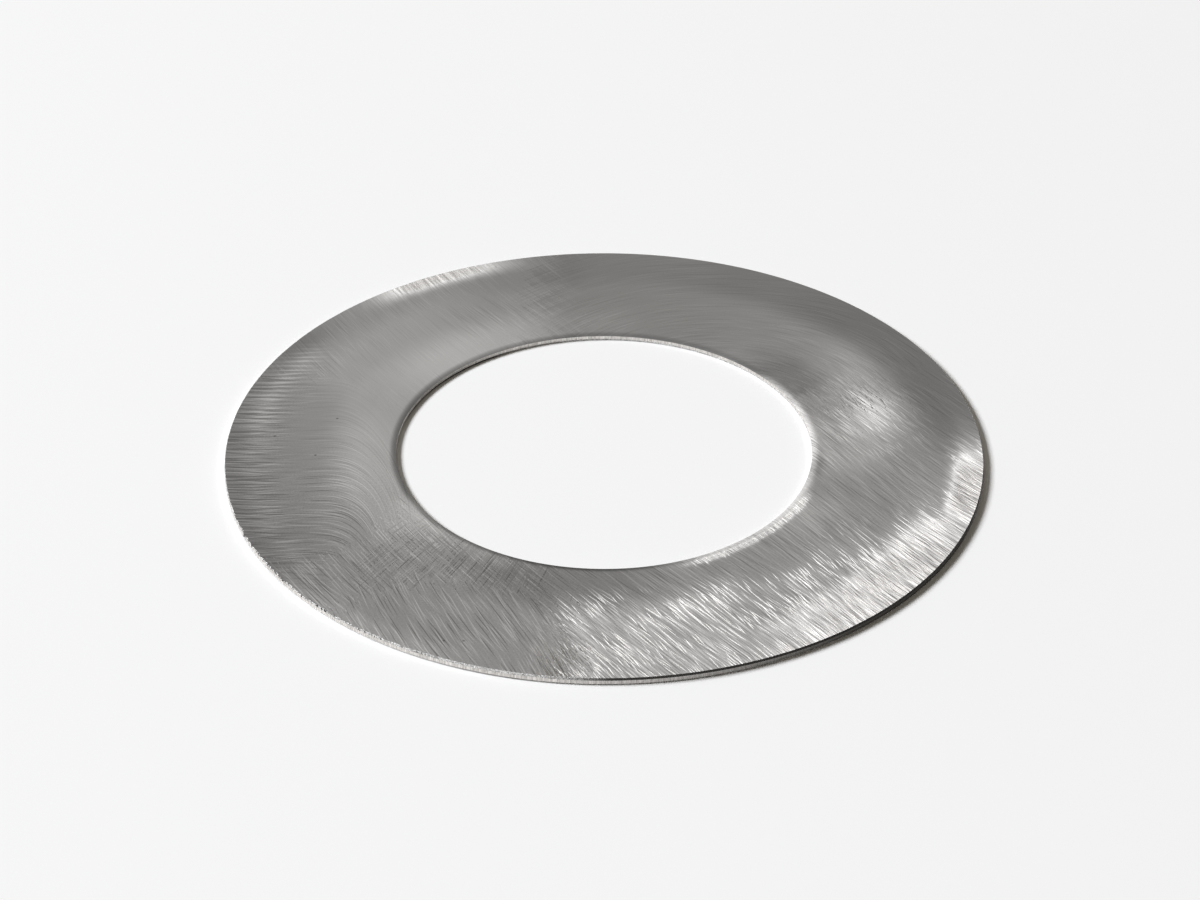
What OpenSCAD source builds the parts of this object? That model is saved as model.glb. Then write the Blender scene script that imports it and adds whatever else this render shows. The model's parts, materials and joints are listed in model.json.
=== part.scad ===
/* [Ring] */
// Outside diameter of the shim
outer_d = 40; // [32:0.5:60]
// Diameter of the bore, measured on its smooth sheared wall
bore_d = 22; // [8:0.5:28]
// Thickness between the two ground faces
thickness = 0.4; // [0.3:0.05:1]

/* [Blanked edges] */
// Width of the rolled-over border where the tool entered the sheet
roll_w = 0.34; // [0.14:0.02:0.6]
// How far the rolled-over border drops below its face
roll_d = 0.08; // [0.03:0.01:0.12]
// Height of the torn band where the tool broke out of the sheet
torn_h = 0.12; // [0.06:0.01:0.15]
// How far the torn band leans back from the smooth wall
torn_lean = 0.015; // [0.005:0.005:0.03]
// Radius of the deburred edge above the torn band
deburr_r = 0.03; // [0.01:0.01:0.05]

/* [Hidden] */
outer_r = outer_d / 2;
bore_r = bore_d / 2;
// Circle that is tangent to the face and meets the wall roll_d below it
roll_r = (roll_w * roll_w + roll_d * roll_d) / (2 * roll_d);
// Overshoot that carries a cutting shape past the surface it cuts
over = 0.05;
$fn = 180;

// Waste of one blanked edge, in the plane of the section. The wall is the line x = 0
// with metal at x > 0. The tool entered at y = 0 and broke out at y = thickness, so
// the edge has a rolled border below, a smooth wall, a torn band and a deburred top.
module edge_waste() {
    difference() {
        translate([-over, -over]) square([roll_w + over, roll_d + over]);
        translate([roll_w, roll_r]) circle(roll_r);
    }
    polygon([
        [-over, thickness - torn_h],
        [0, thickness - torn_h],
        [torn_lean, thickness - deburr_r],
        [torn_lean, thickness + over],
        [-over, thickness + over]
    ]);
    difference() {
        translate([torn_lean - over, thickness - deburr_r]) square([deburr_r + over, deburr_r + over]);
        translate([torn_lean + deburr_r, thickness - deburr_r]) circle(deburr_r);
    }
}

// Section of the ring to the right of its axis, with y as the height. The rim was cut
// from below, so its rolled border is on the lower face. The bore was cut from above,
// so its rolled border is on the upper face.
module ring_section() {
    difference() {
        translate([bore_r, 0]) square([outer_r - bore_r, thickness]);
        translate([outer_r, 0]) mirror([1, 0]) edge_waste();
        translate([bore_r, thickness]) mirror([0, 1]) edge_waste();
    }
}

// The whole shim: one flat hardened steel ring that lies on the plane z = 0
module shim_ring() {
    color([0.56, 0.56, 0.55])
        rotate_extrude() ring_section();
}

shim_ring();
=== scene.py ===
# %% [markdown]
# # A hardened shim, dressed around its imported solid
#
# The real object is one thin ring blanked out of hardened steel strip. It goes on a shaft or an
# arbor and sets a gap to a few hundredths of a millimetre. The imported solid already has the
# diameters, thickness and blanked edges. This lesson gives it the look of the real thing: a
# hand-brushed face, a rim with a torn burr, and a light in which bare steel looks like bare steel.

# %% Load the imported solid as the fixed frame
import json
import math

import bpy
import numpy as np
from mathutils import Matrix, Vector


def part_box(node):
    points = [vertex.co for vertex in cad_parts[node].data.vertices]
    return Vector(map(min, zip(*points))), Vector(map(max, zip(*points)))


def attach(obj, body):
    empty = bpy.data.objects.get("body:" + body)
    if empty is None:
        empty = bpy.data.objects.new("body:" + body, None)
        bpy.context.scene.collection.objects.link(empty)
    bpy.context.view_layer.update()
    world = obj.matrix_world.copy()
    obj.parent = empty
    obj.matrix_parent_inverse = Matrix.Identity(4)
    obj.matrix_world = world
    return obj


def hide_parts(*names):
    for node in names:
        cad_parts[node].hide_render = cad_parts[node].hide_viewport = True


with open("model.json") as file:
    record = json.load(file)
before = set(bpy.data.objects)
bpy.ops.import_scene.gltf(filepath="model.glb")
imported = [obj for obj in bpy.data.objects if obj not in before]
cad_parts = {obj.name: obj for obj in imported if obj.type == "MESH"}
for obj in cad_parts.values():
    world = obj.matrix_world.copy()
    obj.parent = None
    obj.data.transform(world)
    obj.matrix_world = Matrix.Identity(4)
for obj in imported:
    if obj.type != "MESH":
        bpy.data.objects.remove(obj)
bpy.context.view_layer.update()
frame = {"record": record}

# %% [markdown]
# Every place below comes from the frame. The rim radius is read from the node's box and the bore
# radius from the record's own bore mount, so the dressed ring can't drift away from the part that
# the checks have passed. The rim is drawn a hair inside the box, so that rounding can't push it out.

# %% Measures of the ring, in metres
MM = 0.001
RIM_INSET = 0.002 * MM
ring_low, ring_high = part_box("shim_ring")
rim_r = min(-ring_low[0], -ring_low[1], ring_high[0], ring_high[1]) - RIM_INSET
thickness = ring_high[2] - ring_low[2]
bore_mount = next(mount for mount in frame["record"]["mounts"] if mount["name"] == "bore")
bore_r = bore_mount["dims"]["r_mm"] * MM
middle_r = (rim_r + bore_r) / 2
print(f"rim {rim_r / MM:.3f} mm, bore {bore_r / MM:.3f} mm, thickness {thickness / MM:.3f} mm")

# %% [markdown]
# ## The section of a blanked edge
#
# A press tool bends the sheet before it cuts it, so each blanked edge has four bands: a border that
# rolls over where the tool goes in, a smooth sheared wall, a torn band that leans back, and a sharp
# edge that deburring has barely softened. A bevel modifier would give two equal round edges, which is
# why the section is worked out band by band, from the same sizes as the solid's own source.

# %% Bands of one blanked edge
roll_w, roll_d = 0.34 * MM, 0.08 * MM
torn_h, torn_lean = 0.12 * MM, 0.015 * MM
deburr_r = 0.03 * MM


def arc(centre, radius, start, end, count):
    """Points of a circle's arc from start to end in degrees: centre + radius * (cos, sin)."""
    turn = np.radians(np.linspace(start, end, count))
    return np.column_stack([centre[0] + radius * np.cos(turn), centre[1] + radius * np.sin(turn)])


def line(start, end, count):
    """Points spread evenly on the straight line from start to end."""
    share = np.linspace(0, 1, count)[:, None]
    return np.asarray(start) * (1 - share) + np.asarray(end) * share


def blanked_edge():
    """One edge from the face above the torn band, round the wall, to the face below the roll.

    x is the distance into the metal from the sheared wall and y is the height. The deburred edge
    is a quarter circle, the torn band a straight slope and the roll an arc tangent to the face.
    """
    roll_r = (roll_w ** 2 + roll_d ** 2) / (2 * roll_d)
    steep = 180 + math.degrees(math.asin((roll_r - roll_d) / roll_r))
    deburr_centre = (torn_lean + deburr_r, thickness - deburr_r)
    return [
        ("deburred", arc(deburr_centre, deburr_r, 90, 180, 5)),
        ("torn", line((torn_lean, thickness - deburr_r), (0, thickness - torn_h), 5)),
        ("wall", line((0, thickness - torn_h), (0, roll_d), 5)),
        ("roll", arc((roll_w, roll_r), roll_r, steep, 270, 9)),
    ]


print("bands of an edge:", [name for name, _ in blanked_edge()])

# %% [markdown]
# The rim was cut from below and the bore from above, as a compound tool does, so the same edge is
# used upright at the rim and upside down at the bore. Two faces join them. The upper face gets most
# of the points, crowded at its two ends, because there it will curl.

# %% Closed section of the ring
LOWER_POINTS, UPPER_POINTS = 6, 34


def ring_loop():
    """The closed section as rows of (radius, height), with the name of the band each row starts.

    It runs down the rim, inwards along the lower face, up the bore and outwards along the top.
    """
    edge = blanked_edge()
    rim_edge = [(name, np.column_stack([rim_r - p[:, 0], p[:, 1]])) for name, p in edge]
    bore_edge = [(name, np.column_stack([bore_r + p[:, 0], thickness - p[:, 1]])) for name, p in edge]
    rim_top, rim_foot = rim_edge[0][1][0], rim_edge[-1][1][-1]
    bore_foot, bore_top = bore_edge[0][1][0], bore_edge[-1][1][-1]
    ease = (0.5 - 0.5 * np.cos(np.linspace(0, math.pi, UPPER_POINTS)))[:, None]
    lower = ("face", line(rim_foot, bore_foot, LOWER_POINTS))
    upper = ("face", bore_top * (1 - ease) + rim_top * ease)
    bands = rim_edge + [lower] + bore_edge + [upper]
    loop = np.vstack([p[:-1] for _, p in bands])
    names = np.repeat([name for name, _ in bands], [len(p) - 1 for _, p in bands])
    return loop, names


section, section_band = ring_loop()
print(len(section), "points round the section, bands:", sorted(set(section_band)))

# %% [markdown]
# ## Steps and windows
#
# Nearly all of the relief and the finish below is told in polar terms: so far round the ring, so far
# from its axis. Four small shapes are enough for that, a soft step, a window between two steps, the
# same window counted in degrees round the ring, and a bell.


# %% Steps and windows
def smooth_step(value, start, end):
    """0 at start, 1 at end and 3t^2 - 2t^3 between them. An end below start turns the step round."""
    t = np.clip((value - start) / (end - start), 0, 1)
    return t * t * (3 - 2 * t)


def window(value, start, full, fade, end):
    """0 before start, 1 between full and fade and 0 after end, with soft steps between them."""
    return smooth_step(value, start, full) * smooth_step(value, end, fade)


def sector(angle, start, full, fade, end):
    """The same window in degrees round the ring, counted on from its start so it may cross +X."""
    turn = (np.degrees(angle) - start) % 360
    return window(turn, 0, full - start, fade - start, end - start)


def bell(value, middle, reach):
    """exp(-((value - middle) / reach)^2)."""
    return np.exp(-((value - middle) / reach) ** 2)


def side_bell(angle, middle, reach):
    """The bell in degrees round the ring, measured the short way from its middle."""
    away = (np.degrees(angle) - middle + 180) % 360 - 180
    return bell(away, 0, reach)


print("a window half open:", round(float(window(0.5, 0, 1, 2, 3)), 3))

# %% [markdown]
# ## From the section to the ring
#
# Spun round the axis the section gives a perfect ring, and a screw modifier could do that. But a thin
# blank is never perfect: its rim curls up by a few hundredths of a millimetre and the face waves a
# little. So the section is carried round as one array of points, which each angle may move. The
# angles lie closer together where the tool left a burr on the rim, because its teeth need them.

# %% Angles round the ring
BURR_FROM, BURR_TO = 186, 262
BURR_ANGLES, OTHER_ANGLES = 640, 620
angles = np.radians(np.concatenate([
    np.linspace(BURR_FROM, BURR_TO, BURR_ANGLES, endpoint=False),
    np.linspace(BURR_TO, BURR_FROM + 360, OTHER_ANGLES, endpoint=False),
]))
print(len(angles), "angles,", len(angles) * len(section), "points in the ring")

# %% [markdown]
# The curl makes the light run over the face in a slow gradient instead of one flat tone. Sculpting
# could do it, but a sum of a few smooth curves says how high and how wide each swell is. All heights
# are squeezed towards the flat lower face, by up to 0.074 mm at the bore. So this ring is thinner than
# its solid, where a real curled blank would bend as a whole, and the thickness to go by is the solid's.

# %% Curl and waves of the face
RIM_RISE, RIM_REACH = 0.06 * MM, 2.2 * MM
CROWN, CROWN_AT, CROWN_REACH = 0.02 * MM, 12.8 * MM, 2.2 * MM
BORE_FALL, BORE_REACH = 0.02 * MM, 0.8 * MM
WAVE = 0.003 * MM


def face_drop(radius, angle):
    """How far the upper face lies below the rim.

    It is RIM_RISE * (1 - exp(-distance from rim / RIM_REACH)), less a bell of height CROWN round the
    radius CROWN_AT, plus BORE_FALL * exp(-distance from bore / BORE_REACH), and two slow waves.
    """
    from_rim = np.clip(rim_r - radius, 0, None)
    from_bore = np.clip(radius - bore_r, 0, None)
    inside = 1 - np.exp(-from_rim / RIM_REACH)
    crown = CROWN * bell(radius, CROWN_AT, CROWN_REACH)
    bore = BORE_FALL * np.exp(-from_bore / BORE_REACH)
    wave = WAVE * (1 + 0.5 * np.sin(2 * angle + 0.6) + 0.5 * np.sin(3 * angle - 1.1))
    return (RIM_RISE + wave) * inside - crown + bore


print(f"face lies {face_drop(16 * MM, 0.0) / MM:.3f} mm below the rim at 16 mm from the axis")

# %% [markdown]
# The burr is a fringe of torn teeth. Random numbers at even steps round the ring, joined by straight
# lines, give teeth of uneven height; squaring them makes most of them short and a few long. They push
# only the torn band outwards. The longest stand a tenth of a millimetre outside the solid's round rim.
# That stays within its box, since the teeth lie away from the four places where rim and box touch.

# %% Burr and notches of the torn band
TOOTH, TEETH = 0.13 * MM, 900
NOTCH, NOTCHES = 0.006 * MM, 260


def ragged(angle, knots, seed):
    """Uneven values from 0 to 1 round the ring: straight lines between seeded random knots."""
    values = np.random.default_rng(seed).random(knots)
    at = (angle / (2 * math.pi) % 1) * knots
    low = np.floor(at).astype(int) % knots
    return values[low] * (1 - at % 1) + values[(low + 1) % knots] * (at % 1)


def ring_points():
    """The section carried round the axis: each point at radius * (cos, sin) of its angle.

    Heights are squeezed by the face's drop, and the torn band moves out by the teeth and in by the
    notches.
    """
    angle = np.repeat(angles[:, None], len(section), 1)
    radius = np.repeat(section[None, :, 0], len(angles), 0)
    height = np.repeat(section[None, :, 1], len(angles), 0)
    height = height * (1 - face_drop(radius, angle) / thickness)
    at_rim = radius > middle_r
    torn_share = np.where(at_rim, smooth_step(height, thickness - torn_h, thickness - deburr_r), 0)
    teeth = sector(angle, 192, 206, 226, 258) * ragged(angle, TEETH, seed=3) ** 2 * TOOTH
    notches = ragged(angle, NOTCHES, seed=5) * NOTCH
    radius = radius + torn_share * (teeth - notches)
    return np.stack([radius * np.cos(angle), radius * np.sin(angle), height], -1)


points = ring_points()
print(f"longest tooth stands at {np.hypot(points[..., 0], points[..., 1]).max() / MM:.3f} mm")

# %% [markdown]
# ## Where the pad pressed
#
# The face was rubbed by hand, so it isn't evenly bright. Where the pad was pulled hard it cut clean,
# glossy strokes, and where it only skimmed the metal stays dull. That could be painted by hand on an
# image, but the places are simple in polar terms, a stretch of rim here and a patch beside the bore
# there, so each pull is a window in angle times a step in radius. Angles are in degrees from +X and
# radii in millimetres.


# %% Pressure of the pad over the face
def pad_pressure(radius, angle):
    """1 where the pad cut hard and 0 where it only skimmed: the strongest of its pulls."""
    r = radius / MM
    rim_pull = 0.72 * sector(angle, 256, 263, 330, 350) * smooth_step(r, 15.0, 18.3)
    rim_pull = rim_pull * (1 - 0.55 * side_bell(angle, 280, 11) * smooth_step(r, 17.2, 18.6))
    rim_pull = rim_pull * (0.60 + 0.40 * sector(angle, 290, 312, 345, 368))
    rim_tail = 0.80 * sector(angle, 328, 345, 351, 367) * smooth_step(r, 17.5, 19.0)
    front_pull = 0.41 * sector(angle, 255, 267, 290, 312) * smooth_step(r, 12.2, 14.6)
    join = 0.32 * sector(angle, 280, 294, 320, 342) * smooth_step(r, 12.4, 15.2)
    bore_pull = 0.66 * sector(angle, 284, 296, 332, 340) * window(r, 11.1, 11.45, 11.5, 12.0)
    shoulder = 0.53 * side_bell(angle, 14, 18) * bell(r, 14.8, 2.3)
    far_rim = 0.74 * sector(angle, 101, 116, 123, 137) * smooth_step(r, 18.1, 19.6)
    pulls = [rim_pull, rim_tail, front_pull, join, bore_pull, shoulder, far_rim]
    return np.maximum.reduce(pulls)


print("pressure at the right of the rim:", round(float(pad_pressure(18.5 * MM, math.radians(315))), 2))


# %% [markdown]
# The skimmed metal gets painted light and shade. Its tone is one more number per point: it starts
# at an even grey, painted highlights and sheens add to it where the real face catches the light, and
# painted shade takes from it where the real face stays dark, mostly at the back and near the rim.
# One noise could make such clouds as well, but these have known places.


# %% Painted light and shade of the skimmed metal
EVEN_SKIN = 0.84


def painted_highlights(radius, angle):
    """What is added to the even skin: painted highlights and sheens, and the bore border's painted glow."""
    r = radius / MM
    near_bore_light = 0.28 * sector(angle, 92, 118, 212, 236) * smooth_step(r, 15.2, 12.4)
    near_bore_light = near_bore_light - 0.18 * side_bell(angle, 157, 11) * smooth_step(r, 14.6, 12.8)
    back_highlight = 0.11 * side_bell(angle, 89, 9) * smooth_step(r, 15.2, 12.4)
    left_shoulder_light = 0.12 * sector(angle, 112, 134, 154, 170) * smooth_step(r, 18.4, 16.6)
    bore_highlight = 0.20 * sector(angle, 202, 210, 238, 262) * smooth_step(r, 12.8, 11.4)
    front_highlight = 0.24 * side_bell(angle, 329, 8) * smooth_step(r, 14.4, 12.6)
    bore_sheen = 0.24 * sector(angle, 340, 356, 366, 378) * smooth_step(r, 15.8, 13.4)
    patch_edge_light = 0.16 * side_bell(angle, 31, 9) * bell(r, 16.4, 1.3)
    comb_sheen = 0.10 * sector(angle, 148, 155, 176, 190) * bell(r, 18.6, 0.8)
    far_sheen = 0.62 * sector(angle, 99, 114, 123, 137) * smooth_step(r, 18.3, 19.6)
    tail_highlight = 0.14 * side_bell(angle, 346, 7) * window(r, 15.4, 16.6, 18.4, 19.2)
    rim_sheen = 0.15 * sector(angle, 216, 224, 244, 254) * smooth_step(r, 18.6, 19.4)
    rim_sheen = rim_sheen + 0.15 * side_bell(angle, 300, 7) * smooth_step(r, 18.6, 19.4)
    rim_sheen = rim_sheen + 0.18 * side_bell(angle, 1, 8) * smooth_step(r, 18.5, 19.3)
    border_glow = 0.40 * sector(angle, 288, 300, 384, 402) * smooth_step(r, 11.50, 11.15)
    front_glow = 0.24 * sector(angle, 288, 300, 340, 352) * smooth_step(r, 11.7, 11.3)
    return (near_bore_light + back_highlight + left_shoulder_light + bore_highlight + front_highlight + bore_sheen + patch_edge_light
            + comb_sheen + far_sheen + tail_highlight + rim_sheen + border_glow + front_glow)


def painted_shade(radius, angle):
    """What is taken from the even skin: painted shade, also on the rolled bore border."""
    r = radius / MM
    right_shade = 0.28 * sector(angle, 352, 370, 400, 440) * smooth_step(r, 15.8, 17.8)
    bore_shade = 0.22 * sector(angle, 20, 27, 36, 52) * smooth_step(r, 14.6, 12.6)
    front_shade = 0.20 * sector(angle, 236, 252, 272, 289) * smooth_step(r, 15.6, 13.8)
    rim_shade = 0.12 * sector(angle, 138, 150, 212, 222) * smooth_step(r, 18.4, 19.6)
    rim_shade = rim_shade + 0.15 * side_bell(angle, 150, 9) * smooth_step(r, 17.8, 19.2)
    back_shade = 0.12 * sector(angle, 90, 98, 108, 121) * smooth_step(r, 15.5, 17.5)
    left_shade = 0.07 * sector(angle, 168, 184, 214, 234) * smooth_step(r, 14.5, 16.5)
    crest_shade = 0.10 * sector(angle, 52, 68, 88, 102) * smooth_step(r, 15.8, 17.8)
    lower_shade = 0.05 * sector(angle, 194, 206, 240, 258)
    border_shade = 0.42 * sector(angle, 32, 46, 280, 293) * smooth_step(r, 11.45, 11.06)
    border_shade = border_shade + 0.40 * side_bell(angle, 349, 6) * smooth_step(r, 11.9, 11.2)
    return (right_shade + bore_shade + front_shade + rim_shade + back_shade + left_shade + crest_shade
            + lower_shade + border_shade)


# Prints the painted shade at the back.
print("film at the back:", round(float(painted_shade(18 * MM, math.radians(100))), 2))

# %% [markdown]
# Three more numbers say how plainly the strokes show: deep on the near side and faint at the back.
# On the left rim the pad's edge chattered, which left an even row of strokes like the teeth of a
# comb, short pale ones at the far left, painted glints inside the rim, and long dark ones below them.


# %% Depth of the strokes
BACK_DEPTH, NEAR_DEPTH = 0.45, 0.95


def score_depth(radius, angle):
    """How strongly single strokes stand out, from 0.2 by the bore at the back left to 2.6 on the left rim."""
    r = radius / MM
    nearness = smooth_step(r * np.sin(angle), 18, -20)
    left_rim = 0.9 * sector(angle, 148, 168, 214, 240) * smooth_step(r, 15.8, 18.4)
    front = 0.45 * sector(angle, 184, 204, 252, 262)
    right = 0.40 * sector(angle, 332, 350, 380, 410) * smooth_step(r, 13.8, 12.2)
    calm = 0.65 * sector(angle, 115, 135, 160, 196) * smooth_step(r, 17.2, 15.6)
    return (BACK_DEPTH + NEAR_DEPTH * nearness + left_rim + front + right) * (1 - calm)


def comb_painted_glints(radius, angle):
    """How plainly the short pale strokes of the comb, painted glints, stand just inside the rim."""
    return 0.55 * sector(angle, 146, 153, 168, 184) * bell(radius / MM, 18.6, 0.75)


def comb_dark(radius, angle):
    """How plainly the long dark strokes of the comb show, down the whole left rim."""
    return 0.36 * sector(angle, 150, 166, 204, 230) * smooth_step(radius / MM, 16.0, 18.6)


# %% [markdown]
# The walls differ round the ring as well. Painted shade darkens the rim on the right and, more
# faintly, one stretch of the bore's far wall, and on the left painted shade darkens the gaps of the
# burr. All the numbers are worked out for the whole grid at once and are kept with the mesh as point
# attributes, which a material can read and an image would only blur.

# %% Numbers stored per point
radius_at, angle_at = np.broadcast_arrays(section[None, :, 0], angles[:, None])
# Painted shade on the walls: on the rim's wall and torn band on the right, and on the bore's far wall.
rim_painted_shade = sector(angle_at, 256, 314, 335, 358)
bore_painted_shade = 0.38 * sector(angle_at, 112, 140, 150, 174)
finish = {
    "pad_pressure": pad_pressure(radius_at, angle_at),
    # The even grey, raised by painted highlights and lowered by painted shade.
    "skin_and_painted_light": EVEN_SKIN + painted_highlights(radius_at, angle_at) - painted_shade(radius_at, angle_at),
    "score_depth": score_depth(radius_at, angle_at),
    "comb_painted_glints": comb_painted_glints(radius_at, angle_at),
    "comb_dark": comb_dark(radius_at, angle_at),
    "painted_wall_shade": np.where(radius_at > middle_r, rim_painted_shade, bore_painted_shade),
    "burr": sector(angle_at, 188, 198, 226, 262),
}
for name, values in finish.items():
    print(f"{name}: {values.min():.2f} to {values.max():.2f}")

# %% [markdown]
# ## Put the ring into a mesh
#
# The grid of points closes on itself both ways, so every point joins four quads and there is no seam
# or pole. The quads turn so that their faces point outwards. Each band of the section picks its
# material slot, and edges sharper than 40 degrees stay crisp.

# %% Mesh of the ring
SHARP_EDGE = 40
turns, bands = points.shape[:2]
turn, band = np.meshgrid(np.arange(turns), np.arange(bands), indexing="ij")
next_turn, next_band = (turn + 1) % turns, (band + 1) % bands
corners = [(turn, band), (turn, next_band), (next_turn, next_band), (next_turn, band)]
quads = np.stack([t * bands + b for t, b in corners], -1).reshape(-1, 4)
mesh = bpy.data.meshes.new("shim")
mesh.from_pydata(points.reshape(-1, 3), [], quads)
mesh.polygons.foreach_set("use_smooth", np.ones(len(quads), bool))
slots = {"face": 0, "roll": 0, "wall": 1, "torn": 2, "deburred": 2}
band_slot = np.array([slots[name] for name in section_band])
mesh.polygons.foreach_set("material_index", np.tile(band_slot, turns).astype(np.int32))
for name, values in finish.items():
    attribute = mesh.attributes.new(name, "FLOAT", "POINT")
    attribute.data.foreach_set("value", values.ravel().astype(np.float32))
mesh.update()
mesh.set_sharp_from_angle(angle=math.radians(SHARP_EDGE))
print(len(quads) * 2, "triangles in the shim")

# %% [markdown]
# The ring takes the place of the imported node in the picture. It rides the root body, because the
# object has no joint, and its first material slot, added below, is hardened steel.

# %% Hand the ring to the frame
shim = bpy.data.objects.new("shim", mesh)
bpy.context.scene.collection.objects.link(shim)
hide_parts("shim_ring")
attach(shim, "root")
print("shim stands in for shim_ring")

# %% [markdown]
# ## Materials
#
# Two small helpers serve every material: one turns an sRGB hex value to the linear colour that a
# shader wants, and one adds a node with its settings and links and hands back one of its outputs.


# %% Helpers for materials
def linear(hex_value):
    """An sRGB hex string as a linear RGBA colour."""
    srgb = [int(hex_value[n:n + 2], 16) / 255 for n in (1, 3, 5)]
    return [c / 12.92 if c <= 0.04045 else ((c + 0.055) / 1.055) ** 2.4 for c in srgb] + [1.0]


def add(tree, kind, inputs=None, output=0, **settings):
    """Adds a node and gives one of its outputs.

    inputs maps a socket's name or number to a value or to another node's output.
    """
    node = tree.nodes.new("ShaderNode" + kind)
    for name, value in settings.items():
        setattr(node, name, value)
    for socket, value in (inputs or {}).items():
        if isinstance(value, bpy.types.NodeSocket):
            tree.links.new(value, node.inputs[socket])
        else:
            node.inputs[socket].default_value = value
    return node.outputs[output] if node.outputs else node


def new_material(name, mesh_data):
    """An empty node material in the next slot of a mesh; gives its node tree."""
    material = bpy.data.materials.new(name)
    material.use_nodes = True
    material.node_tree.nodes.clear()
    mesh_data.materials.append(material)
    return material.node_tree


print("white as a linear colour:", linear("#ffffff"))

# %% [markdown]
# ## Brushed hardened steel: the sweeps of the pad
#
# An abrasive pad in a hand leaves strokes that run side by side and bend with the wrist. Each
# stroke is a groove far narrower than it is long, so light spreads wide across the strokes and
# hardly at all along them: a highlight appears only where the strokes lie square to the half-way
# direction between lamp and eye. That is why brushed metal changes tone so sharply between two
# sweeps. One noise stretched along X would give a machine's straight grain, so here each sweep is a
# family of curves with its own two coordinates in millimetres, along and across. The hand drifts by
# up to 0.8 mm over about 12 mm, which keeps the strokes from being ruled lines.

# %% Place on the face in millimetres, with the drift of the hand
MM_PER_M = 1000.0
DRIFT, DRIFT_SPAN = 1.6, 12.5
face = new_material("brushed_hardened_steel", mesh)
object_place = add(face, "TexCoord", output="Object")
place = add(face, "VectorMath", {0: object_place, "Scale": MM_PER_M}, operation="SCALE")
flat = add(face, "VectorMath", {0: place, 1: (1, 1, 0)}, operation="MULTIPLY")
drift = add(face, "TexNoise", {"Vector": flat, "Scale": 1 / DRIFT_SPAN, "Detail": 0.0}, output="Color")
drift = add(face, "VectorMath", {0: drift, 1: (0.5, 0.5, 0.5)}, operation="SUBTRACT")
hand = add(face, "VectorMath", {0: drift, 1: (DRIFT, DRIFT, 0), 2: flat}, operation="MULTIPLY_ADD")
print("nodes so far:", len(face.nodes))


# %% Straight and round sweeps
def straight_sweep(direction):
    """Straight strokes at an angle to +X: along and across are the plane turned by that angle."""
    a = math.radians(direction)
    strokes = add(face, "VectorRotate", {"Vector": hand, "Angle": -a}, rotation_type="Z_AXIS")
    side = add(face, "CombineXYZ", {0: -math.sin(a), 1: math.cos(a), 2: 0.0})
    return strokes, side


def round_sweep(centre_x, centre_y, arc_radius):
    """Strokes round a centre: across is the distance from it, along the angle times arc_radius."""
    offset = add(face, "VectorMath", {0: hand, 1: (centre_x, centre_y, 0)}, operation="SUBTRACT")
    x, y = [add(face, "SeparateXYZ", {0: offset}, output=n) for n in (0, 1)]
    reach = add(face, "VectorMath", {0: offset}, output="Value", operation="LENGTH")
    turn = add(face, "Math", {0: y, 1: x}, operation="ARCTAN2")
    around = add(face, "Math", {0: turn, 1: arc_radius}, operation="MULTIPLY")
    strokes = add(face, "CombineXYZ", {0: around, 1: reach})
    return strokes, add(face, "VectorMath", {0: offset}, operation="NORMALIZE")


def spoke_sweep(centre_x, centre_y, arc_radius):
    """Strokes away from a centre: the round sweep with along and across changed over."""
    rounds, outward = round_sweep(centre_x, centre_y, arc_radius)
    around, reach = [add(face, "SeparateXYZ", {0: rounds}, output=n) for n in (0, 1)]
    strokes = add(face, "CombineXYZ", {0: reach, 1: around})
    quarter = {"Vector": outward, "Angle": math.pi / 2}
    return strokes, add(face, "VectorRotate", quarter, rotation_type="Z_AXIS")


print("kinds of sweep:", [kind.__name__ for kind in (straight_sweep, round_sweep, spoke_sweep)])


# %% [markdown]
# On the left the pad came in over the rim, ran straight for about 5 mm, and turned down as
# the wrist gave way. A straight line that gains a cubic from a certain place on has just that look:
# no kink where the bend begins, and a bend that tightens.


# %% Sweep of the wrist
WRIST_ACROSS = 0.8


def wrist_sweep(start_x, slope, bend):
    """Strokes that leave the rim straight and bend down past start_x.

    With t = x - start_x and b = t where it is positive, across is WRIST_ACROSS times
    y - slope * t + bend * b^3, which makes these strokes a quarter wider than the others. The
    tangent is square to the curve's own slope.
    """
    x, y = [add(face, "SeparateXYZ", {0: hand}, output=n) for n in (0, 1)]
    t = add(face, "Math", {0: x, 1: start_x}, operation="SUBTRACT")
    bent = add(face, "Math", {0: t, 1: 0.0}, operation="MAXIMUM")
    squared = add(face, "Math", {0: bent, 1: bent}, operation="MULTIPLY")
    cubed = add(face, "Math", {0: squared, 1: bent}, operation="MULTIPLY")
    straight = add(face, "Math", {0: t, 1: -slope, 2: y}, operation="MULTIPLY_ADD")
    across = add(face, "Math", {0: cubed, 1: bend, 2: straight}, operation="MULTIPLY_ADD")
    across = add(face, "Math", {0: across, 1: WRIST_ACROSS}, operation="MULTIPLY")
    strokes = add(face, "CombineXYZ", {0: t, 1: across})
    steep = add(face, "Math", {0: squared, 1: 3 * bend, 2: -slope}, operation="MULTIPLY_ADD")
    normal = add(face, "CombineXYZ", {0: steep, 1: 1.0, 2: 0.0})
    return strokes, add(face, "VectorMath", {0: normal}, operation="NORMALIZE")


print("the wrist's strokes are", 1 / WRIST_ACROSS, "times as wide as the others")

# %% [markdown]
# A noise stretched along the strokes says which sweep cut last at each spot, and the winner hands
# its direction to the shader as the tangent. Blending the coordinates of two sweeps would bend their
# strokes out of shape instead. The border between two sweeps then frays into single strokes, as it
# does where two passes of a pad cross. Each sweep is also held to its own region, a round spot that
# fades out, and straight strokes at -55 degrees lie under all of them and fill the rest.

# %% Which sweep cut last
FRAY = 1.3
SCORE_LENGTH, SCORE_WIDTH = 3, 0.08


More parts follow.
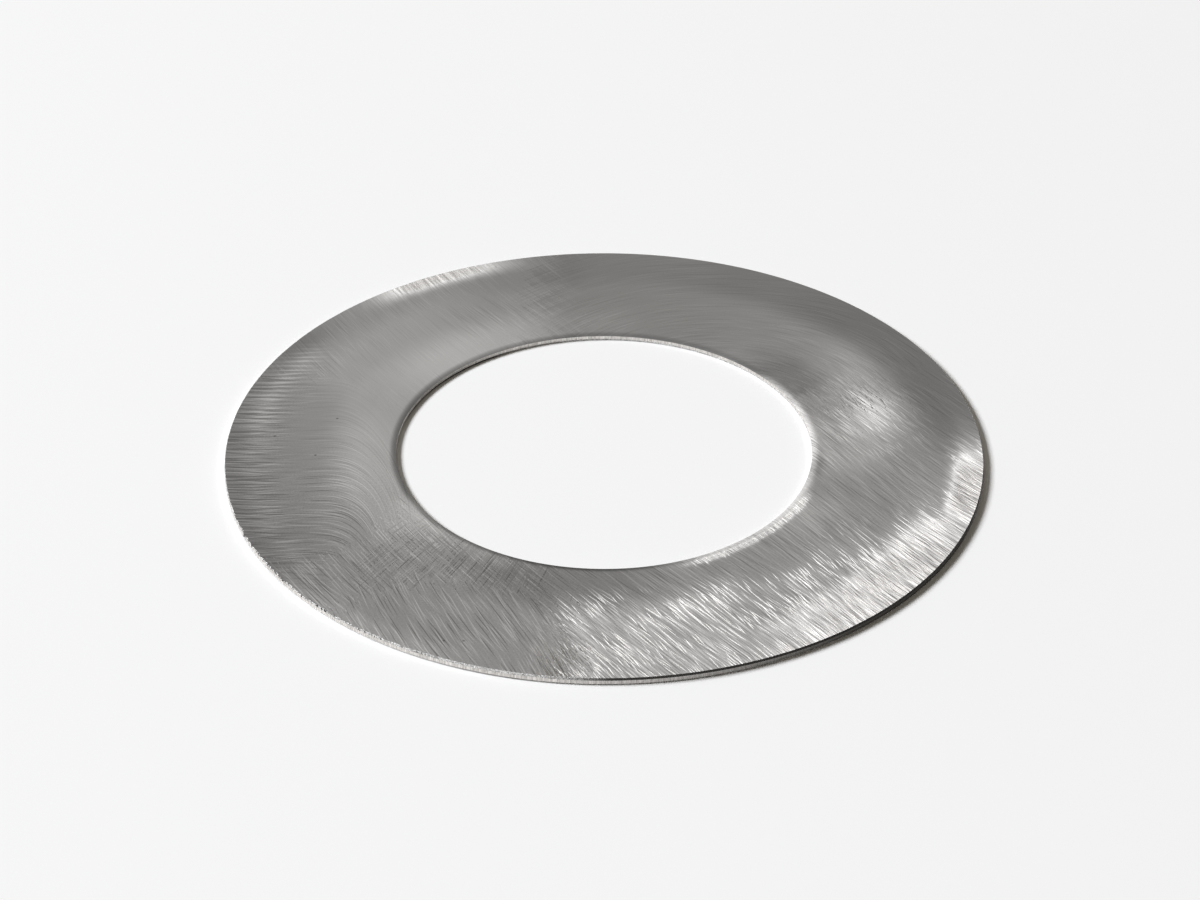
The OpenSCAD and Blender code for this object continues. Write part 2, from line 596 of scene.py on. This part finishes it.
def stroke_noise(strokes, length, width, seed, detail=2.0):
    """Noise stretched into strokes of a length and width in millimetres."""
    size = (1 / length, 1 / width, 0)
    start = (seed, 3.1 * seed, seed)
    at = add(face, "VectorMath", {0: strokes, 1: size, 2: start}, operation="MULTIPLY_ADD")
    return add(face, "TexNoise", {"Vector": at, "Scale": 1.0, "Detail": detail})


def reach_of(centre_x, centre_y, full, none, height=1.0):
    """height within full millimetres of a spot and 0 beyond none millimetres."""
    gap = add(face, "VectorMath", {0: flat, 1: (centre_x, centre_y, 0)}, output="Value",
              operation="DISTANCE")
    return add(face, "MapRange", {0: gap, 1: full, 2: none, 3: height, 4: 0.0},
               interpolation_type="SMOOTHSTEP")


sweeps = [
    (wrist_sweep(-15.4, 0.06, 0.065), reach_of(-18.5, -2, 6.5, 12)),
    (spoke_sweep(7, 15, 27.0), reach_of(-7.5, -11.3, 2.5, 9, 0.50)),
    (straight_sweep(-69), reach_of(-8, -18.5, 4, 9)),
    (round_sweep(7, 2.4, 10.0), reach_of(8.5, 16, 7, 17)),
]
strokes, side = straight_sweep(-55)
score = stroke_noise(strokes, SCORE_LENGTH, SCORE_WIDTH, 1)
score = add(face, "Math", {0: score, 1: FRAY, 2: 0.5 - FRAY / 2}, operation="MULTIPLY_ADD")
for number, ((next_strokes, next_side), region) in enumerate(sweeps, 2):
    noise = stroke_noise(next_strokes, SCORE_LENGTH, SCORE_WIDTH, number)
    next_score = add(face, "Math", {0: noise, 1: FRAY, 2: region}, operation="MULTIPLY_ADD")
    next_score = add(face, "Math", {0: next_score, 1: FRAY / 2}, operation="SUBTRACT")
    wins = add(face, "Math", {0: next_score, 1: score}, operation="GREATER_THAN")
    strokes = add(face, "Mix", {0: wins, 4: strokes, 5: next_strokes}, output=1, data_type="VECTOR")
    side = add(face, "Mix", {0: wins, 4: side, 5: next_side}, output=1, data_type="VECTOR")
    score = add(face, "Math", {0: score, 1: next_score}, operation="MAXIMUM")
print("sweeps of the pad:", len(sweeps) + 1)

# %% [markdown]
# ## Strokes of single grains
#
# Most of the pad's grains cut lines too fine to show, and those are left to the roughness. Only the
# coarsest are drawn, 0.05 mm wide and one to two millimetres long, and they lie farther apart than on
# the real face so that each one shows. An image of scratches could do it, but it would repeat. A
# hard-pressed grain cuts a clean bright line of its own, so each stroke is the heart of a thin
# stretched cell with a random strength, and it shows only where the pad's pressure beats that
# strength. The bright places then break up into separate hairlines at their border instead of fading
# like a soft shadow.

# %% Hairlines
CELL = 2.6


def hairlines(length, width, degrees, seed, pull):
    """Thin tapered strokes of a length and width in mm, laid at a small angle to the sweep.

    Each is the heart of a stretched Voronoi cell CELL times its size, and it is cut only where
    pull beats the cell's random strength.
    """
    leaning = add(face, "VectorRotate", {"Vector": strokes, "Angle": math.radians(degrees)},
                  rotation_type="Z_AXIS")
    size = (1 / (CELL * length), 1 / (CELL * width), 0)
    at = add(face, "VectorMath", {0: leaning, 1: size, 2: (seed, 2.3 * seed, 0)},
             operation="MULTIPLY_ADD")
    cell = {"Vector": at, "Scale": 1.0}
    gap = add(face, "TexVoronoi", cell, output="Distance", voronoi_dimensions="2D")
    colour = add(face, "TexVoronoi", cell, output="Color", voronoi_dimensions="2D")
    groove = add(face, "MapRange", {0: gap, 1: 0.12, 2: 0.28, 3: 1.0, 4: 0.0})
    strength = add(face, "SeparateColor", {0: colour})
    margin = add(face, "Math", {0: pull, 1: strength}, operation="SUBTRACT")
    kept = add(face, "MapRange", {0: margin, 1: 0.0, 2: 0.25})
    return add(face, "Math", {0: groove, 1: kept}, operation="MULTIPLY")


print("a hairline's cell is", CELL, "times its own length and width")

# %% [markdown]
# Three layers of bright glints and two of dark scars follow the pad's pressure. Three faint layers lie
# over the whole face, so that the skimmed metal isn't bare. Each layer leans a few degrees from the
# sweep, because no hand repeats a stroke exactly.

# %% Layers of hairlines
PULL_SHARE, PULL_FLOOR, EVERYWHERE = 0.50, 0.42, 0.8
pad = add(face, "Attribute", output="Fac", attribute_name="pad_pressure")
pull = add(face, "Math", {0: pad, 1: PULL_SHARE, 2: PULL_FLOOR}, operation="MULTIPLY_ADD")
glint = hairlines(1.2, 0.050, -6, 5, pull)
for length, width, lean, seed in [(1.8, 0.054, 1, 6), (0.9, 0.050, 8, 8)]:
    glint = add(face, "Math", {0: glint, 1: hairlines(length, width, lean, seed, pull)},
                operation="MAXIMUM")
scar = hairlines(1.2, 0.048, 3, 9, pull)
scar = add(face, "Math", {0: scar, 1: hairlines(1.8, 0.048, -3, 10, pull)}, operation="MAXIMUM")
faint_light = hairlines(2.0, 0.05, 1.5, 21, EVERYWHERE)
faint_cross = hairlines(1.4, 0.05, -7, 24, EVERYWHERE)
faint_dark = hairlines(2.0, 0.05, -2, 22, EVERYWHERE)
print("nodes so far:", len(face.nodes))

# %% [markdown]
# The comb on the left rim could be cut stroke by stroke, but it is only a rhythm: a sine across the
# wrist's strokes, one tooth to about 0.4 mm, shaken by a stretched noise so that it isn't ruled. Its
# crests make the pale strokes, which are painted glints, and its troughs the dark ones.

# %% Comb on the left rim
COMB_TOOTH = 0.425
COMB_SHAKE = 6.0
comb_wave = 2 * math.pi / (COMB_TOOTH * WRIST_ACROSS)
wrist_strokes = sweeps[0][0][0]
wrist_across = add(face, "SeparateXYZ", {0: wrist_strokes}, output=1)
shake = stroke_noise(wrist_strokes, 1.8, 0.45, 31, detail=1.0)
shake = add(face, "Math", {0: shake, 1: COMB_SHAKE}, operation="MULTIPLY")
phase = add(face, "Math", {0: wrist_across, 1: comb_wave, 2: shake}, operation="MULTIPLY_ADD")
comb_row = add(face, "Math", {0: phase}, operation="SINE")
# Crests give the pale strokes, painted glints; troughs give the dark strokes.
crest = add(face, "MapRange", {0: comb_row, 1: 0.35, 2: 0.95})
trough = add(face, "MapRange", {0: comb_row, 1: -0.35, 2: -0.95})
painted_glint_depth = add(face, "Attribute", output="Fac", attribute_name="comb_painted_glints")
dark_depth = add(face, "Attribute", output="Fac", attribute_name="comb_dark")
crest = add(face, "Math", {0: crest, 1: painted_glint_depth}, operation="MULTIPLY")
trough = add(face, "Math", {0: trough, 1: dark_depth}, operation="MULTIPLY")
comb = add(face, "Math", {0: crest, 1: trough}, operation="SUBTRACT")
print("teeth of the comb per centimetre:", round(10 / COMB_TOOTH))

# %% [markdown]
# ## Two finishes in one
#
# The skimmed metal scatters light almost evenly, which gives the eye a soft grey. The clean cut
# metal is smoother and strongly stretched, which gives it the silvery flash. One number, cut, slides
# between the two: it follows the pad's pressure, frayed by streaks, and every hairline glint is cut
# clean as well.

# %% How cleanly the metal is cut
EDGE_FRAY = 0.7
depth = add(face, "Attribute", output="Fac", attribute_name="score_depth")
grit = add(face, "MapRange", {0: depth, 1: 0.6, 2: 1.3, 3: 0.35, 4: 1.0})
leaning = add(face, "VectorRotate", {"Vector": strokes, "Angle": math.radians(-3)},
              rotation_type="Z_AXIS")
streak = stroke_noise(leaning, 3.0, 0.10, 14)
streak = add(face, "Math", {0: streak, 1: EDGE_FRAY, 2: -EDGE_FRAY / 2}, operation="MULTIPLY_ADD")
press = add(face, "Math", {0: streak, 1: grit, 2: pad}, operation="MULTIPLY_ADD")
ground_cut = add(face, "MapRange", {0: press}, interpolation_type="SMOOTHSTEP")
hair_share = add(face, "MapRange", {0: pad, 1: 0.0, 2: 0.45, 3: 0.0})
hair_share = add(face, "Math", {0: hair_share, 1: grit}, operation="MULTIPLY")
hair_cut = add(face, "Math", {0: glint, 1: hair_share}, operation="MULTIPLY")
cut = add(face, "Math", {0: ground_cut, 1: hair_cut}, operation="MAXIMUM")
print("nodes so far:", len(face.nodes))

# %% [markdown]
# The relief of the strokes drives both the tone and the bump: ridges are pale, grooves are dark.
# Bump alone could do it, but tone gives a firmer hold on the contrast. The weights were set on the
# near side, and the stored depths carry the contrast round the ring.

# %% Relief of the cut metal
SCAR_DEPTH, GLINT_HEIGHT = -0.40, 0.44
RELIEF_MIDDLE, SHADE_MIDDLE, SKIN_SHARE = 0.52, 0.23, 0.35
tooth = stroke_noise(strokes, 1.8, 0.068, 11, detail=1.0)
relief = add(face, "Math", {0: scar, 1: SCAR_DEPTH, 2: tooth}, operation="MULTIPLY_ADD")
relief = add(face, "Math", {0: glint, 1: GLINT_HEIGHT, 2: relief}, operation="MULTIPLY_ADD")
swing = add(face, "Math", {0: relief, 1: RELIEF_MIDDLE}, operation="SUBTRACT")
swing = add(face, "Math", {0: swing, 1: grit, 2: SHADE_MIDDLE}, operation="MULTIPLY_ADD")
# The even grey with its painted highlights and painted shade, read per point.
skin = add(face, "Attribute", output="Fac", attribute_name="skin_and_painted_light")
shade = add(face, "Math", {0: skin, 1: SKIN_SHARE, 2: swing}, operation="MULTIPLY_ADD")
shade = add(face, "MapRange", {0: shade, 1: 0.18, 2: 0.92})
bright = add(face, "Mix", {0: shade, 6: linear("#706d6b"), 7: linear("#fdfaf7")}, output=2,
             data_type="RGBA")
print("nodes so far:", len(face.nodes))

# %% [markdown]
# The skimmed metal has the same strokes, but they lie under a grain of tiny pips such as the skin of
# rolled strip has, drawn 0.09 mm wide so that they show. Both swing about an even grey.

# %% Relief of the skimmed metal
SPECKLE_SIZE, SPECKLE_SHARE, TOOTH_SHARE = 0.09, 0.40, 0.27
EVEN_GREY, FULL_DEPTH = 0.48, 1.4
LIGHT_LINE, DARK_LINE, CROSS_LINE = 0.32, -0.34, 0.20
level = -(SPECKLE_SHARE + TOOTH_SHARE) / 2
speckle = add(face, "TexNoise", {"Vector": flat, "Scale": 1 / SPECKLE_SIZE, "Detail": 1.0})
grain = add(face, "Math", {0: tooth, 1: TOOTH_SHARE, 2: level}, operation="MULTIPLY_ADD")
grain = add(face, "Math", {0: speckle, 1: SPECKLE_SHARE, 2: grain}, operation="MULTIPLY_ADD")
grain_depth = add(face, "MapRange", {0: depth, 1: 0.0, 2: FULL_DEPTH, 3: 0.0, 4: FULL_DEPTH})
grain = add(face, "Math", {0: grain, 1: grain_depth, 2: EVEN_GREY}, operation="MULTIPLY_ADD")
lines = add(face, "Math", {0: faint_cross, 1: CROSS_LINE}, operation="MULTIPLY")
lines = add(face, "Math", {0: faint_dark, 1: DARK_LINE, 2: lines}, operation="MULTIPLY_ADD")
lines = add(face, "Math", {0: faint_light, 1: LIGHT_LINE, 2: lines}, operation="MULTIPLY_ADD")
faint = add(face, "Math", {0: lines, 1: depth, 2: grain}, operation="MULTIPLY_ADD")
faint = add(face, "Math", {0: faint, 1: comb}, operation="ADD")
dull = add(face, "Mix", {0: faint, 6: linear("#a09f9e"), 7: linear("#e6e5e4")}, output=2,
           data_type="RGBA")
# Painted highlights and painted shade scale the skimmed metal's colour.
dull = add(face, "VectorMath", {0: dull, "Scale": skin}, operation="SCALE")
print("nodes so far:", len(face.nodes))

# %% [markdown]
# A few rust pits, such as a drop of water leaves, are a little over a tenth of a millimetre across and
# have a soft edge. A noise could scatter them, but there are only six, so they are placed one by one.
# They are colour alone, because a dent of this size wouldn't show.

# %% Pits
PIT_HEART, PIT_EDGE, PIT_STRENGTH = 0.03, 0.10, 0.5
tone = add(face, "Mix", {0: cut, 6: dull, 7: bright}, output=2, data_type="RGBA")
pits = [(-14.3, 2.5), (-17.5, 0.8), (-15.2, -1.0), (-1.3, -13.9), (-7.75, -17.0), (-6.8, -17.0)]
for x, y in pits:
    pit = reach_of(x, y, PIT_HEART, PIT_EDGE, PIT_STRENGTH)
    tone = add(face, "Mix", {0: pit, 6: tone, 7: linear("#3d3128")}, output=2, data_type="RGBA")
print("pits:", len(pits))

# %% [markdown]
# Bare steel is fully metallic and keeps the default IOR. Skimmed, it starts from a satin roughness
# of 0.66 with hardly any stretch. Cut clean, it comes down to 0.40 and is stretched almost as far as
# the shader can, with the tangent laid across the strokes, swaying by up to ten degrees from one
# stroke to the next. The bump is about a hundredth of a millimetre high, more than a real scratch of
# this width has, so that it shows.

# %% Shader of the brushed face
SKIMMED_ROUGH, CUT_ROUGH = 0.66, 0.40
SKIMMED_STRETCH, CUT_STRETCH = 0.10, 0.92
SWAY = 0.35
STROKE_DEPTH = 0.012 * MM
rough = add(face, "MapRange", {0: cut, 3: SKIMMED_ROUGH, 4: CUT_ROUGH})
stretch = add(face, "MapRange", {0: cut, 1: 0.0, 2: 0.6, 3: SKIMMED_STRETCH, 4: CUT_STRETCH})
sway = stroke_noise(strokes, 3.0, 0.12, 13)
sway = add(face, "Math", {0: sway, 1: SWAY, 2: -SWAY / 2}, operation="MULTIPLY_ADD")
tangent = add(face, "VectorRotate", {"Vector": side, "Angle": sway}, rotation_type="Z_AXIS")
bump_strength = add(face, "MapRange", {0: cut, 3: 0.2, 4: 0.8})
face_bump = add(face, "Bump", {"Strength": bump_strength, "Distance": STROKE_DEPTH, "Height": relief})
face_shader = add(face, "BsdfPrincipled", {
    "Base Color": tone, "Metallic": 1.0, "Roughness": rough, "Anisotropic": stretch,
    "Tangent": tangent, "Normal": face_bump})
add(face, "OutputMaterial", {0: face_shader})
print("nodes in the brushed face:", len(face.nodes))

# %% [markdown]
# ## Sheared wall
#
# The sheared part of each edge was burnished as the tool slid past it, so it is a satin, nearly white
# metal with fine upright streaks. Real streaks are finer, and here they are drawn 0.07 mm wide so that
# they show. The wall stands upright all round, so the streaks are a noise on Object coordinates drawn
# long in Z, which needs no unwrapping. Painted shade darkens it where the stored attribute says so.

# %% Sheared wall
STREAK_WIDTH, STREAK_HEIGHT = 0.07, 0.6
wall = new_material("sheared_steel_wall", mesh)
wall_place = add(wall, "TexCoord", output="Object")
wall_place = add(wall, "VectorMath", {0: wall_place, "Scale": MM_PER_M}, operation="SCALE")
streak_size = (1 / STREAK_WIDTH, 1 / STREAK_WIDTH, 1 / STREAK_HEIGHT)
drawn = add(wall, "VectorMath", {0: wall_place, 1: streak_size}, operation="MULTIPLY")
drawn = add(wall, "TexNoise", {"Vector": drawn, "Scale": 1.0, "Detail": 2.0})
drawn = add(wall, "MapRange", {0: drawn, 1: 0.3, 2: 0.7})
wall_tone = add(wall, "Mix", {0: drawn, 6: linear("#c0bdb9"), 7: linear("#f2efec")}, output=2,
                data_type="RGBA")
wall_painted_shade = add(wall, "Attribute", output="Fac", attribute_name="painted_wall_shade")
# Painted shade: the wall turns dark grey where the stored painted wall shade says so.
wall_tone = add(wall, "Mix", {0: wall_painted_shade, 6: wall_tone, 7: linear("#54514e")}, output=2,
                data_type="RGBA")
wall_bump = add(wall, "Bump", {"Strength": 1.0, "Distance": 0.004 * MM, "Height": drawn})
wall_shader = add(wall, "BsdfPrincipled", {
    "Base Color": wall_tone, "Metallic": 1.0, "Roughness": 0.55, "Normal": wall_bump})
add(wall, "OutputMaterial", {0: wall_shader})
print("nodes in the wall:", len(wall.nodes))

# %% [markdown]
# ## Torn band
#
# Beyond the sheared wall the sheet broke instead of being cut. The break is grainy and sparkles where
# it is clean, and painted shade makes it nearly black on the right. Real crystals are finer, and they
# are drawn 0.06 mm wide so that they show. Along the burr, painted shade darkens gaps 0.13 mm apart
# between the teeth. A displaced mesh could make the crystals too, but at this size a bump does it.

# %% Torn band
CRYSTAL, TOOTH_GAP = 0.06, 0.13
torn = new_material("torn_steel_break", mesh)
torn_place = add(torn, "TexCoord", output="Object")
torn_place = add(torn, "VectorMath", {0: torn_place, "Scale": MM_PER_M}, operation="SCALE")
crystal = add(torn, "TexNoise", {"Vector": torn_place, "Scale": 1 / CRYSTAL, "Detail": 3.0})
crystal = add(torn, "MapRange", {0: crystal, 1: 0.35, 2: 0.7})
torn_tone = add(torn, "Mix", {0: crystal, 6: linear("#9a9895"), 7: linear("#ffffff")}, output=2,
                data_type="RGBA")
# Painted shade: the break turns nearly black where the stored painted wall shade says so.
torn_painted_shade = add(torn, "Attribute", output="Fac", attribute_name="painted_wall_shade")
torn_painted_shade = add(torn, "MapRange", {0: torn_painted_shade, 1: 0.02, 2: 0.16})
torn_tone = add(torn, "Mix", {0: torn_painted_shade, 6: torn_tone, 7: linear("#474543")}, output=2,
                data_type="RGBA")
# Painted shade in the gaps between the burr's teeth, only where the burr stands.
tooth_shade_size = (1 / TOOTH_GAP, 1 / TOOTH_GAP, 0)
tooth_shade_place = add(torn, "VectorMath", {0: torn_place, 1: tooth_shade_size}, operation="MULTIPLY")
gap = add(torn, "TexNoise", {"Vector": tooth_shade_place, "Scale": 1.0, "Detail": 1.0})
gap = add(torn, "MapRange", {0: gap, 1: 0.45, 2: 0.38})
burr = add(torn, "Attribute", output="Fac", attribute_name="burr")
gap = add(torn, "Math", {0: gap, 1: burr}, operation="MULTIPLY")
torn_tone = add(torn, "Mix", {0: gap, 6: torn_tone, 7: linear("#3a3938")}, output=2,
                data_type="RGBA")
torn_bump = add(torn, "Bump", {"Strength": 1.0, "Distance": 0.03 * MM, "Height": crystal})
torn_shader = add(torn, "BsdfPrincipled", {
    "Base Color": torn_tone, "Metallic": 1.0, "Roughness": 0.5, "Normal": torn_bump})
add(torn, "OutputMaterial", {0: torn_shader})
print("nodes in the torn band:", len(torn.nodes))

# %% [markdown]
# ## Floor
#
# The shim lies on a sheet of white paper, wide enough that its edge isn't seen from above. A curved
# backdrop would hide the horizon as well, but from this height a flat sheet fills the view. Paper is
# rough and takes a soft shadow. It is part of the stage and not of the object, and it lies a hundredth
# of a millimetre low so that it doesn't cut the lower face.

# %% Floor
FLOOR_HALF, FLOOR_LOW = 3.0, -0.01 * MM
floor_mesh = bpy.data.meshes.new("floor")
ways = [(-1, -1), (1, -1), (1, 1), (-1, 1)]
floor_corners = [(x * FLOOR_HALF, y * FLOOR_HALF, FLOOR_LOW) for x, y in ways]
floor_mesh.from_pydata(floor_corners, [], [(0, 1, 2, 3)])
floor = bpy.data.objects.new("floor", floor_mesh)
bpy.context.scene.collection.objects.link(floor)
paper = new_material("white_paper", floor_mesh)
paper_shader = add(paper, "BsdfPrincipled", {"Base Color": linear("#f7f7f7"), "Roughness": 0.9})
add(paper, "OutputMaterial", {0: paper_shader})
print("floor:", 2 * FLOOR_HALF, "m wide")

# %% [markdown]
# ## Light
#
# One large window-like lamp on the left does nearly all of the lighting: it brings out the brushed
# face by its stretched highlights and throws the short shadow to the right. A small softbox behind
# lifts the back of the ring, and a dim warm world fills the shadows, which is why they aren't black.
# Metal shows what is around it, so lamps are large, plain and few.


# %% Lamps
def lamp(name, azimuth, elevation, distance, width, height, radiance, colour=(1, 1, 1)):
    """A softbox that faces the ring. Its power is radiance * pi * area."""
    data = bpy.data.lights.new(name, "AREA")
    data.shape = "RECTANGLE"
    data.size, data.size_y = width, height
    data.energy = radiance * math.pi * width * height
    data.color = colour
    a, e = math.radians(azimuth), math.radians(elevation)
    way = Vector((math.cos(a) * math.cos(e), math.sin(a) * math.cos(e), math.sin(e)))
    light = bpy.data.objects.new(name, data)
    light.location = way * distance
    light.rotation_euler = way.to_track_quat("Z", "Y").to_euler()
    bpy.context.scene.collection.objects.link(light)
    print(f"{name}: {data.energy:.1f} W at {distance} m")


lamp("window", 181, 40, 3.0, 1.45, 1.0, 26.4, (0.98, 0.995, 1.02))
lamp("back_softbox", 120, 50, 2.4, 0.42, 0.42, 3.0)

world = bpy.data.worlds.new("studio")
bpy.context.scene.world = world
world.use_nodes = True
world.node_tree.nodes["Background"].inputs[0].default_value = (0.15, 0.138, 0.118, 1)

# %% [markdown]
# ## Camera
#
# A long lens stands 160 mm away and looks down on the ring by 34 degrees, so that the ring fills
# nearly two thirds of the frame's width and its near side looks slightly larger than its far side.
# Distance and aim are counted in rim radii, so the framing holds for a ring of any size. The view
# transform is Standard, which shows colours about as they are written.

# %% Camera
LENS, SENSOR = 90.6, 36.0
VIEW_UP = math.radians(34.0)
BACK_OFF, ASIDE = 8.003, -0.0109
camera_data = bpy.data.cameras.new("camera")
camera_data.lens, camera_data.sensor_width = LENS, SENSOR
camera_data.clip_start, camera_data.clip_end = 0.01, 20
camera = bpy.data.objects.new("camera", camera_data)
back_off = BACK_OFF * rim_r
camera.location = (ASIDE * rim_r, -math.cos(VIEW_UP) * back_off, math.sin(VIEW_UP) * back_off)
camera.rotation_euler = (math.pi / 2 - VIEW_UP, 0, 0)
bpy.context.scene.collection.objects.link(camera)
bpy.context.scene.camera = camera
bpy.context.scene.view_settings.view_transform = "Standard"
print(f"camera {back_off / MM:.1f} mm from the ring's centre")
